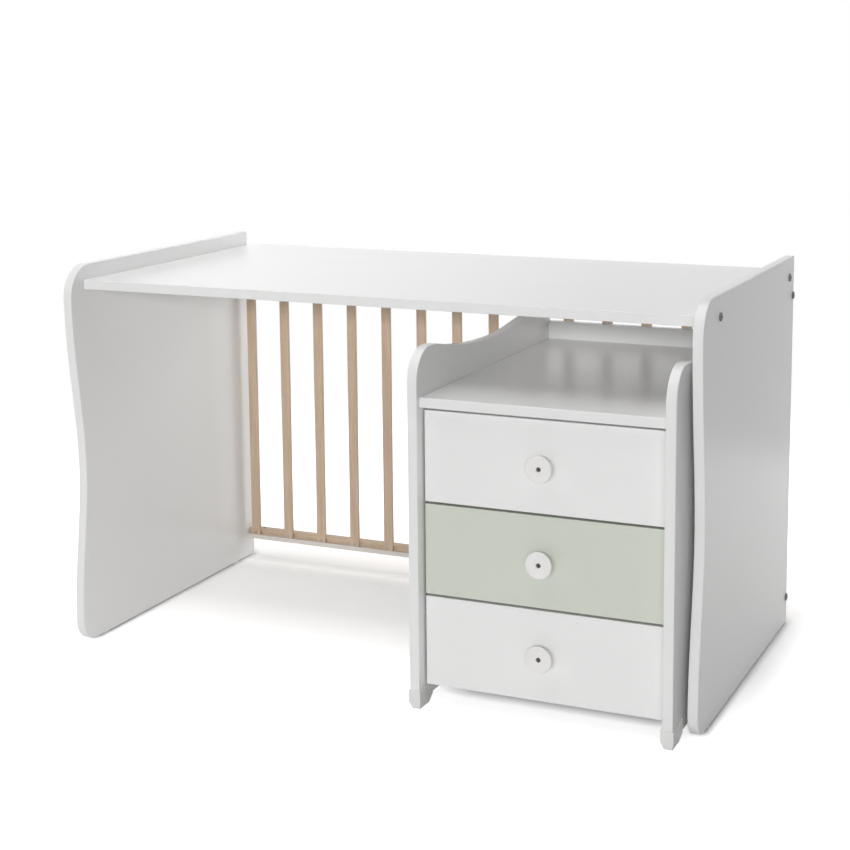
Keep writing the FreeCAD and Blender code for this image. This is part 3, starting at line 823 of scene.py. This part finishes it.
# Soft boxes round the object; only the overhead one shows in reflections
softBoxes = {
    "overheadBox": {
        "at": (-0.5, -0.3, 3.3), "aim": (0.0, 0.0, 0.3), "size": (3.4, 2.8), "watts": 60.0, "mirrored": True,
    },
    "frontRightBox": {"at": (4.0, -11.4, 2.96), "aim": (0.1, 0.0, 0.5), "size": (7.2, 1.0), "watts": 512.0},
    "frontBox": {"at": (0.4, -11.7, 2.96), "aim": (0.1, 0.0, 0.5), "size": (7.2, 1.0), "watts": 295.0},
    "rearBox": {"at": (0.3, 2.8, 1.15), "aim": (0.2, 0.0, 0.6), "size": (3.0, 2.2), "watts": 45.0},
    "rearRightBox": {"at": (1.2, 2.7, 1.0), "aim": (0.0, 0.0, 0.5), "size": (2.4, 1.9), "watts": 20.0},
    "leftBox": {"at": (-3.2, -0.4, 0.9), "aim": (0.0, 0.0, 0.4), "size": (2.0, 1.0), "watts": 22.0},
}
for name, box in softBoxes.items():
    lamp = bpy.data.lights.new(name, "AREA")
    lamp.shape = "RECTANGLE"
    lamp.size, lamp.size_y = box["size"]
    lamp.energy = box["watts"]
    holder = bpy.data.objects.new(name, lamp)
    scene.collection.objects.link(holder)
    holder.location = box["at"]
    holder.rotation_euler = (Vector(box["aim"]) - Vector(box["at"])).to_track_quat("-Z", "Y").to_euler()
    holder.visible_camera = False
    holder.visible_glossy = box.get("mirrored", False)

# White surround for the camera and for reflections, and a faint one for the light that it gives
surround = {"white": (1.0, 1.0, 1.0, 1.0), "strength": 1.0, "fillStrength": 0.01}


def seenDirectly(tree):
    path = put(tree, "ShaderNodeLightPath")
    reflected = sumOf(tree, path.outputs["Is Glossy Ray"], path.outputs["Is Transmission Ray"], "MAXIMUM")
    return sumOf(tree, path.outputs["Is Camera Ray"], reflected, "MAXIMUM")


def whiteShader(tree, kind, strength):
    return feed(tree, put(tree, kind), {"Color": surround["white"], "Strength": strength}).outputs[0]


def mixShader(tree, share, first, second):
    return feed(tree, put(tree, "ShaderNodeMixShader"), {0: share, 1: first, 2: second}).outputs[0]


world = bpy.data.worlds.new("studio")
world.use_nodes = True
scene.world = world
tree = world.node_tree
tree.nodes.clear()
fill = whiteShader(tree, "ShaderNodeBackground", surround["fillStrength"])
white = whiteShader(tree, "ShaderNodeBackground", surround["strength"])
both = mixShader(tree, seenDirectly(tree), fill, white)
feed(tree, put(tree, "ShaderNodeOutputWorld"), {"Surface": both})


def stagePiece(name, finish, corners):
    # a single face with its own empty material tree
    bm = bmesh.new()
    bm.faces.new([bm.verts.new(corner) for corner in corners])
    piece = linkMesh(name, bm)
    material = bpy.data.materials.new(finish)
    material.use_nodes = True
    material.node_tree.nodes.clear()
    piece.data.materials.append(material)
    return piece, material.node_tree


# Pale floor that keeps the object's shadow and fades into white further away
# Painted shade on it: less glow under the desk, little under the chest and none along the end panels' feet
floor = {
    "half": 14.0, "colour": (0.93, 0.93, 0.93, 1.0), "fadeFrom": 1.4, "fadeTo": 2.4, "lift": 0.24,
    "open": 0.56, "middle": (0.0, 0.20, 0.0), "deskShadeHalf": (0.62, 0.14, 1.0), "deskShadeOver": (0.10, 0.42, 1.0),
    "chestInset": (0.078, 0.122), "chestShadeOver": (0.08, 0.035, 1.0), "chestShadeLeast": 0.2,
    "panelInset": (0.0, 0.055), "panelShadeOver": (0.013, 0.03, 1.0), "panelShadeLeast": 0.0,
}


def vectorStep(tree, operation, first, second=(0.0, 0.0, 0.0)):
    node = put(tree, "ShaderNodeVectorMath", operation=operation)
    return feed(tree, node, {0: first, 1: second}).outputs[0]


def lengthOf(tree, vector):
    return feed(tree, put(tree, "ShaderNodeVectorMath", operation="LENGTH"), {0: vector}).outputs["Value"]


def outside(tree, spot, middle, half, over):
    # how far a spot lies outside a box, as a share of the given fading widths
    spread = vectorStep(tree, "ABSOLUTE", vectorStep(tree, "SUBTRACT", spot, middle))
    past = vectorStep(tree, "MAXIMUM", vectorStep(tree, "SUBTRACT", spread, half))
    return lengthOf(tree, vectorStep(tree, "DIVIDE", past, over))


def footprint(node, inset):
    # middle and half size of a node's box, drawn in at both sides and at the front
    low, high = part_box(node)
    low += Vector((inset[0], inset[1], 0.0))
    high -= Vector((inset[0], 0.0, 0.0))
    return (low + high) / 2, (high - low) / 2


half = floor["half"]
floorCorners = [(x, y, 0.0) for x, y in ((-half, -half), (half, -half), (half, half), (-half, half))]
floorPiece, tree = stagePiece("studioFloor", "paleFloor", floorCorners)
spot = put(tree, "ShaderNodeTexCoord").outputs["Object"]
direct = seenDirectly(tree)
gone = span(tree, lengthOf(tree, spot), floor["fadeFrom"], floor["fadeTo"], 0.0, 1.0)
fade = sumOf(tree, gone, direct, "MULTIPLY")
# painted shade under the desk: the camera sees less of the floor's glow inside this box than beyond it
pastDeskShade = outside(tree, spot, floor["middle"], floor["deskShadeHalf"], floor["deskShadeOver"])
seen = put(tree, "ShaderNodeLightPath").outputs["Is Camera Ray"]
glowPastDeskShade = sumOf(tree, span(tree, pastDeskShade, 0.0, 1.0, 0.0, floor["open"]), seen, "MULTIPLY")
# painted shadow: the floor's glow is cut under the chest, wherever that stands, and along both end panels'
# feet
besideChest = put(tree, "ShaderNodeTexCoord", object=feetPiece).outputs["Object"]
pastChestShade = outside(tree, besideChest, *footprint("chest_feet", floor["chestInset"]), floor["chestShadeOver"])
chestShadeFactor = span(tree, pastChestShade, 0.0, 1.0, floor["chestShadeLeast"], 1.0)
apart = feed(tree, put(tree, "ShaderNodeSeparateXYZ"), {0: spot})
fromMiddle = sumOf(tree, apart.outputs["X"], 0.0, "ABSOLUTE")
mirroredSpot = {"X": fromMiddle, "Y": apart.outputs["Y"]}
bothSides = feed(tree, put(tree, "ShaderNodeCombineXYZ"), mirroredSpot).outputs[0]
pastPanelShade = outside(tree, bothSides, *footprint("right_end_panel", floor["panelInset"]), floor["panelShadeOver"])
paintedShadeFactor = sumOf(tree, chestShadeFactor, span(tree, pastPanelShade, 0.0, 1.0, floor["panelShadeLeast"], 1.0), "MULTIPLY")
level = sumOf(tree, sumOf(tree, direct, floor["lift"], "MULTIPLY"), glowPastDeskShade)
# the floor's glow, lowered where shade is painted
raised = whiteShader(tree, "ShaderNodeEmission", sumOf(tree, level, paintedShadeFactor, "MULTIPLY"))
matt = feed(tree, put(tree, "ShaderNodeBsdfDiffuse"), {"Color": floor["colour"]}).outputs[0]
near = feed(tree, put(tree, "ShaderNodeAddShader"), {0: matt, 1: raised}).outputs[0]
far = whiteShader(tree, "ShaderNodeEmission", surround["strength"])
feed(tree, put(tree, "ShaderNodeOutputMaterial"), {"Surface": mixShader(tree, fade, near, far)})

# Grey cards seen only in reflections: one close behind the desk top, paler towards the left,
# and a wide one further off
cards = {
    "deskCard": {
        "left": -1.6, "right": 0.66, "depth": 0.40, "bottom": 0.712, "top": 2.2,
        "paleTo": -0.75, "darkFrom": 0.2, "pale": 1.32, "dark": 0.86,
    },
    "farCard": {
        "left": -4.5, "right": 3.0, "depth": 1.75, "bottom": 0.0, "top": 2.2,
        "paleTo": 0.5, "darkFrom": 0.9, "pale": 1.20, "dark": 0.70,
    },
}


def hangCard(name, card):
    left, right, depth = card["left"], card["right"], card["depth"]
    sides = [(left, depth, card["bottom"]), (right, depth, card["bottom"])]
    sides += [(right, depth, card["top"]), (left, depth, card["top"])]
    piece, tree = stagePiece(name, name, sides)
    spot = put(tree, "ShaderNodeTexCoord").outputs["Object"]
    across = feed(tree, put(tree, "ShaderNodeSeparateXYZ"), {0: spot}).outputs["X"]
    grey = span(tree, across, card["paleTo"], card["darkFrom"], card["pale"], card["dark"])
    glow = whiteShader(tree, "ShaderNodeEmission", grey)
    feed(tree, put(tree, "ShaderNodeOutputMaterial"), {"Surface": glow})
    piece.visible_camera = False
    piece.visible_diffuse = False
    piece.visible_shadow = False
    return piece


[hangCard(name, card) for name, card in cards.items()]

scene.view_settings.view_transform = "Standard"
print("stage done")
